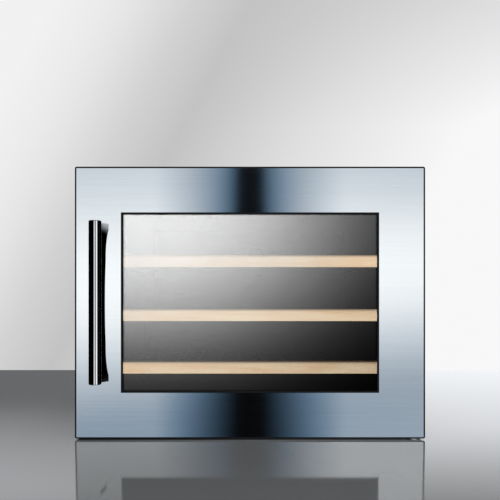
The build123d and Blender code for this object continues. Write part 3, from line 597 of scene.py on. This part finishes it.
def two_boxes(recipe, x, z):
    """Two soft boxes with a dark gap between them that widens downwards."""
    half_gap, fade = 0.020, 0.140
    reach = ((abs(x) - half_gap) / fade).at_most(1.0).at_least(0.0)
    side = reach ** (1.15 - z * 2.0)
    height = z - x * (0.2 - z) * 0.35
    crest = height.above(-0.075, 0.11) * (0.69 - x.at_least(0.0) * 0.3)
    crest = crest - height.above(0.15, 0.10) * 0.37
    level = side * (0.335 + x * 0.1 + crest)
    whiteness = (level * 1.95).at_most(level * 0.45 + 0.6).at_most(1.0)
    return recipe.mix(whiteness, (0.50, 1.0, 1.60), (1.0, 1.0, 1.0)), level * 1.19


def upper_left_glow(recipe, x, z):
    """A soft round light that the window mirrors at its upper left."""
    middle_x, middle_z = -0.206, 0.177
    dx = x - middle_x
    dz = z - middle_z
    falloff = (dx * dx * 10.7 + dz * dz * 22.8) ** 1.35
    bounces = recipe.node("ShaderNodeLightPath", output=BOUNCES)
    first_mirror = 1.0 - bounces.above(1.5, 0.1)
    return (1.0, 1.0, 1.0, 1.0), (0.0 - falloff).exp() * first_mirror * 3.08


def handle_boxes(recipe, x, z):
    """Two narrow soft boxes, with a grey gap between them, that the handle mirrors."""
    left = x.above(-0.185, 0.01) - x.above(-0.067, 0.01)
    right = x.above(0.083, 0.01) - x.above(0.41, 0.04)
    gap = x.above(-0.067, 0.01) - x.above(0.083, 0.01)
    return (0.96, 0.99, 1.0, 1.0), (left * 0.75 + right * 0.9 + gap * 0.10) * 75.0


def area_light(name, place, target, width, height, power, glossy=False):
    light = bpy.data.lights.new(name, "AREA")
    light.shape = "RECTANGLE"
    light.size, light.size_y = width, height
    light.energy = power
    lamp = bpy.data.objects.new(name, light)
    lamp.location = place
    lamp.rotation_euler = (Vector(target) - Vector(place)).to_track_quat("-Z", "Y").to_euler()
    bpy.context.scene.collection.objects.link(lamp)
    lamp.visible_camera = False
    lamp.visible_glossy = glossy
    return lamp


def studio_world():
    """A pale wall for the camera; a dim room, dark in front of the door, for everything else."""
    world = bpy.data.worlds.new("studio")
    bpy.context.scene.world = world
    world.use_nodes = True
    recipe = Recipe(world.node_tree)
    x, y, z = recipe.axes(recipe.node("ShaderNodeTexCoord"))
    ahead = y.at_least(0.05)
    across = x / ahead
    height = z / ahead

    slope = across - height * 0.55 + 0.272
    fading = 1.0 - ((height - 0.30).at_least(0.0) * 2.5).at_most(0.5)
    slope = slope.at_most(0.0) + slope.at_least(0.0) * fading
    wall = recipe.node(
        "ShaderNodeValToRGB",
        {"stops": WALL_TONES},
        {"Fac": (slope + 0.34) / 0.82},
    )
    seen = recipe.node("ShaderNodeBackground", None, {"Color": wall})

    left = ((height - 0.222) * 12.2).at_most(2.0).at_least(0.21)
    right = (1.78 - (height - 0.285).at_least(0.0) * 9.0).at_least(0.35)
    side = across.above(0.0, 0.32)
    upper = 1.0 - height.above(0.55, 0.12) * 0.7
    room = (left * (1.0 - side) + right * side) * upper * y.above(0.0, 0.1) + 0.002
    felt = recipe.node(
        "ShaderNodeBackground", None, {"Color": (0.95, 0.97, 1.0, 1.0), "Strength": room}
    )
    camera_ray = recipe.node("ShaderNodeLightPath")
    shader = recipe.node("ShaderNodeMixShader", None, {0: camera_ray, 1: felt, 2: seen})
    recipe.node("ShaderNodeOutputWorld", None, {"Surface": shader})


def grey_tone(value):
    """A grey in linear light from its screen value between 0 and 1."""
    return (value ** 2.2,) * 3


WALL_TONES = [
    (0.0, grey_tone(0.945)), (0.11, grey_tone(0.918)), (0.17, grey_tone(0.893)),
    (0.29, grey_tone(0.817)), (0.41, grey_tone(0.757)), (0.48, grey_tone(0.785)),
    (0.66, grey_tone(0.866)), (0.78, grey_tone(0.906)), (1.0, grey_tone(0.97)),
]


def floor_material(shaded_left_tone, lit_right_tone):
    """A glossy pale table that mirrors more to the right; the mirror image is a little squat. Its
    colour is a little darker on the left than on the right: painted shade and light, for how the
    studio's lamps fall on it.
    """
    material, recipe = new_material("studio_floor")
    x, _, _ = recipe.axes()
    haze = recipe.noise(2.0, 2.0)
    lean = math.radians(1.9)
    upward = recipe.node(
        "ShaderNodeCombineXYZ", None, {"Y": -math.sin(lean), "Z": math.cos(lean)}
    )
    # painted light and shade: the left half takes the darker colour and the right half the lighter
    # one
    left, right = (
        recipe.principled(
            Base_Color=rgb(tone), Roughness=0.06 + haze * 0.02, IOR=ior, Normal=upward
        )
        for tone, ior in ((shaded_left_tone, 1.26), (lit_right_tone, 2.1))
    )
    recipe.surface(
        recipe.node("ShaderNodeMixShader", None, {0: x.above(0.045, 0.05), 1: left, 2: right})
    )
    return material


class BuildStage(bpy.types.Operator):
    """Floor, studio wall, lamps, soft boxes and camera"""

    bl_idname = "cooler.build_stage"
    bl_label = "Build stage"

    def execute(self, context):
        look = context.scene.cooler_stage
        half, drop = 3.0, 0.0002
        rear = face_y + look.floor_depth
        centre = Vector((0, rear - half, -drop))
        floor = stage_plane("studio_floor", centre, 2 * half, 2 * half, False)
        floor.data.materials.append(floor_material(look.shaded_left_tone, look.lit_right_tone))
        studio_world()

        distance = look.card_distance
        reflection_card("steel_soft_box", distance, ["door_panel"], 2.6, two_boxes)
        reflection_card(
            "glass_soft_box", distance + 0.01, ["outer_glass"], 2.4, upper_left_glow
        )
        reflection_card("handle_soft_box", distance - 0.01, HANDLE, 2.0, handle_boxes)
        rails = [nodes[name] for name in RAILS]  # each has a lamp of its own, below
        for name, place, width, height, power, glossy in (
            ("front_lamp", (-0.7, -2.2, 1.5), 1.4, 1.0, 60, False),
            ("right_lamp", (1.6, -1.4, 0.9), 1.0, 1.0, 18, False),
            ("top_lamp", (0, 0.1, 2.2), 2.4, 2.0, 35, True),
            ("left_wash", (-2.2, 0.6, 0.9), 1.6, 1.4, 30, True),
            ("right_wash", (2.2, 0.6, 0.9), 1.6, 1.4, 30, True),
            ("rear_wash", (0.3, 2.6, 1.3), 2.0, 1.4, 40, True),
        ):
            lamp = area_light(name, place, (0, face_y, 0.2), width, height, power, glossy)
            leave_dark(lamp, floor, *rails)
        floor_lamp = area_light("floor_lamp", (0, -2.3, 6.0), (0, -2.3, 0), 4.0, 4.0, 400)
        floor_lamp.light_linking.receiver_collection = object_set("floor_lamp_lit", [floor])
        for rail, across, ahead, power in zip(
            RAILS, (-0.22, 0.22, 0.38), (0.9, 0.7, 0.35), (16.8, 10.4, 3.9)
        ):
            low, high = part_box(rail)
            target = Vector((0, low.y, (low.z + high.z) / 2))
            place = target + Vector((across, -ahead, -0.5 * ahead))
            lamp = area_light(rail + "_lamp", place, target, 0.1, 0.1, power)
            light_only(lamp, rail)
            lamp.light_linking.blocker_collection = object_set(rail + "_shade", [nodes[rail]])
        for name in HANDLE + RAILS:  # the floor's mirror image leaves them out
            nodes[name].visible_glossy = False
        floor.visible_glossy = False

        camera_data = bpy.data.cameras.new("camera")
        camera_data.lens = look.camera_lens
        camera_data.shift_y = look.camera_shift
        camera = bpy.data.objects.new("camera", camera_data)
        camera.location = door_middle - Vector((0, look.camera_distance, 0))
        camera.rotation_euler = (math.radians(90), 0, 0)
        context.scene.collection.objects.link(camera)
        context.scene.camera = camera
        context.scene.view_settings.view_transform = "Standard"
        context.scene.view_settings.look = "None"
        return {"FINISHED"}


# ---------------------------------------------------------------- door
class DressDoor(bpy.types.Operator):
    """Stainless panel, black frame, panes, gasket and lining"""

    bl_idname = "cooler.dress_door"
    bl_label = "Dress door"

    def execute(self, context):
        look = context.scene.cooler_door
        stainless = brushed_steel(
            "brushed_stainless", look.steel, look.steel_roughness, 0.8,
            panel_low, panel_high, look.shaded_hem,
        )
        dress(stainless, "stainless", "door_panel")
        trim = moulded_plastic("black_trim", look.trim, 0.50, 3000.0, 0.00001, 0.1)
        dress(trim, "frame_black", "door_frame")
        lining = moulded_plastic("door_lining", (0.022, 0.022, 0.024), 0.42)
        dress(lining, "door_lining", "door_liner")
        dress(window_glass("mirror_glass", look.glass_tint, 4.0), "clear_glass", "outer_glass")
        dress(window_glass("plain_glass", look.glass_tint, 1.0), "clear_glass", "inner_glass")
        spacer = plated_steel("dark_spacer", (0.12, 0.12, 0.13), 0.45)
        dress(spacer, "spacer_metal", "glass_spacer")
        sealant = rubber("edge_sealant", (0.015, 0.015, 0.016), 0.5)
        dress(sealant, "edge_sealant", "glass_seal")
        gasket = rubber("gasket_rubber", (0.028, 0.028, 0.030))
        dress(gasket, "gasket_rubber", "door_gasket")
        return {"FINISHED"}


class DressHandle(bpy.types.Operator):
    """Handle bar and the arch behind it"""

    bl_idname = "cooler.dress_handle"
    bl_label = "Dress handle"

    def execute(self, context):
        look = context.scene.cooler_door
        dress(black_chrome("black_chrome", look.chrome, 0.03), "black_chrome", "handle_bar")
        # the arch gets the full painted highlight at its ends
        dress(black_chrome("satin_black", look.chrome, 0.12, 1.0), "black_chrome", "handle_arch")
        return {"FINISHED"}


class DressHinges(bpy.types.Operator):
    """Hinge brackets, pins, bushes and every screw"""

    bl_idname = "cooler.dress_hinges"
    bl_label = "Dress hinges and screws"

    def execute(self, context):
        zinc = plated_steel("zinc_steel", (0.66, 0.67, 0.68), 0.3)
        dress(zinc, "zinc_steel", "handle_screws", "cabinet_screws", "hinge_pins")
        bush = moulded_plastic("bush_plastic", (0.70, 0.70, 0.66), 0.4)
        dress(bush, "bush_plastic", "hinge_bushes")
        bracket = painted_metal("bracket_paint", (0.028, 0.028, 0.030), 0.4)
        dress(bracket, "bracket_steel", "hinge_brackets", "niche_brackets")
        return {"FINISHED"}


class DressCabinet(bpy.types.Operator):
    """Outer panels, collar, liner, foam and feet"""

    bl_idname = "cooler.dress_cabinet"
    bl_label = "Dress cabinet"

    def execute(self, context):
        look = context.scene.cooler_cabinet
        paint = painted_metal("cabinet_paint", look.paint, 0.38)
        outer = ("side_panel_left", "side_panel_right", "top_panel", "front_collar")
        dress(paint, "shell_paint", *outer)
        sheet = galvanised_sheet("galvanised_sheet", look.zinc, 0.34)
        dress(sheet, "plated_sheet", "base_pan", "back_panel", "bay_bulkhead", "bay_cover")
        liner = moulded_plastic("liner_plastic", look.liner, 0.5, 900.0, 0.00003, 0.2)
        dress(liner, "liner_plastic", "inner_liner")
        dress(hard_foam("blown_foam", (0.72, 0.64, 0.40)), "foam", "insulation_foam", "door_foam")
        feet = moulded_plastic("foot_plastic", (0.02, 0.02, 0.021), 0.5)
        dress(feet, "foot_plastic", *FEET)
        return {"FINISHED"}


class DressShelves(bpy.types.Operator):
    """Beech fronts, wire racks and their runners"""

    bl_idname = "cooler.dress_shelves"
    bl_label = "Dress shelves"

    def execute(self, context):
        look = context.scene.cooler_cabinet
        wood = beech_wood("beech", look.wood_pale, look.wood_dark)
        dress(wood, "beech", *RAILS)
        wire = painted_metal("rack_coating", (0.008, 0.008, 0.009), 0.45, 1200.0, 0.00002, 0.15)
        dress(wire, "rack_wire", *RACKS)
        runner = moulded_plastic("runner_plastic", (0.012, 0.012, 0.013), 0.5)
        dress(runner, "runner_plastic", "shelf_runners")
        return {"FINISHED"}


class DressInterior(bpy.types.Operator):
    """Evaporator, its fan and the control panel"""

    bl_idname = "cooler.dress_interior"
    bl_label = "Dress interior"

    def execute(self, context):
        fins = plated_steel("evaporator_metal", (0.05, 0.05, 0.052), 0.5)
        dress(fins, "evaporator_metal", "evaporator_plate")
        duct = moulded_plastic("duct_plastic", (0.010, 0.0105, 0.011), 0.5, specular=0.2)
        dress(duct, "duct_plastic", "evaporator_cover")
        fan_frame = moulded_plastic("fan_frame_plastic", (0.02, 0.02, 0.021), 0.4)
        dress(fan_frame, "fan_plastic", "evap_fan_housing", "condenser_fan_shroud")
        blades = moulded_plastic("blade_plastic", (0.018, 0.018, 0.019), 0.45, specular=0.2)
        dress(blades, "blade_plastic", "evap_fan_rotor", "condenser_fan_rotor")
        probe = moulded_plastic("probe_plastic", (0.02, 0.02, 0.021), 0.5)
        dress(probe, "probe_plastic", "temperature_probe")
        panel = moulded_plastic("control_plastic", (0.012, 0.012, 0.013), 0.2, 4000.0, 0.000005)
        dress(panel, "control_plastic", "control_panel")
        display = moulded_plastic("display_window", (0.008, 0.012, 0.02), 0.08, 4000.0, 0.000002)
        dress(display, "display_window", "control_display")
        keys = moulded_plastic("button_plastic", (0.5, 0.51, 0.53), 0.3)
        dress(keys, "button_plastic", *BUTTONS)
        lens = frosted_lens("led_diffuser", (0.85, 0.87, 0.9))
        dress(lens, "lens_plastic", "led_lens")
        return {"FINISHED"}


class DressBay(bpy.types.Operator):
    """Compressor bay behind the step"""

    bl_idname = "cooler.dress_bay"
    bl_label = "Dress compressor bay"

    def execute(self, context):
        look = context.scene.cooler_cabinet
        enamel = painted_metal("compressor_paint", (0.012, 0.012, 0.013), 0.22, 350.0, 0.00008)
        dress(enamel, "compressor_paint", "compressor")
        grommets = rubber("grommet_rubber", (0.02, 0.02, 0.02))
        dress(grommets, "grommet_rubber", "compressor_mounts")
        coil = plated_steel("condenser_metal", (0.58, 0.59, 0.60), 0.4)
        dress(coil, "condenser_metal", "condenser_coil")
        copper = copper_tube("copper_tube", look.copper)
        dress(copper, "copper", "refrigerant_lines", "filter_drier")
        tray = moulded_plastic("tray_plastic", (0.72, 0.73, 0.72), 0.4)
        dress(tray, "tray_plastic", "drip_tray")
        box = moulded_plastic("box_plastic", (0.07, 0.07, 0.075), 0.5)
        dress(box, "box_plastic", "control_box")
        gland = moulded_plastic("gland_plastic", (0.02, 0.02, 0.02), 0.5)
        dress(gland, "gland_plastic", "power_gland")
        return {"FINISHED"}


class CoolerPanel(bpy.types.Panel):
    """The wine cooler's steps and settings"""

    bl_idname = "VIEW3D_PT_cooler"
    bl_label = "Wine cooler"
    bl_space_type = "VIEW_3D"
    bl_region_type = "UI"
    bl_category = "Wine cooler"

    def draw(self, context):
        for group in SETTINGS:
            settings = getattr(context.scene, group)
            for name in settings.__annotations__:
                self.layout.prop(settings, name)
        for step in STEPS:
            self.layout.operator(step.bl_idname)


SETTINGS = {
    "cooler_stage": StageSettings,
    "cooler_door": DoorSettings,
    "cooler_cabinet": CabinetSettings,
}
STEPS = (
    BuildStage, DressDoor, DressHandle, DressHinges, DressCabinet, DressShelves, DressInterior,
    DressBay,
)


def register():
    for group, kind in SETTINGS.items():
        bpy.utils.register_class(kind)
        setattr(bpy.types.Scene, group, PointerProperty(type=kind))
    for step in STEPS + (CoolerPanel,):
        bpy.utils.register_class(step)


def unregister():
    for step in reversed(STEPS + (CoolerPanel,)):
        bpy.utils.unregister_class(step)
    for group, kind in SETTINGS.items():
        delattr(bpy.types.Scene, group)
        bpy.utils.unregister_class(kind)


def main():
    register()
    for step in STEPS:
        family, name = step.bl_idname.split(".")
        getattr(getattr(bpy.ops, family), name)()


if __name__ == "__main__":
    main()
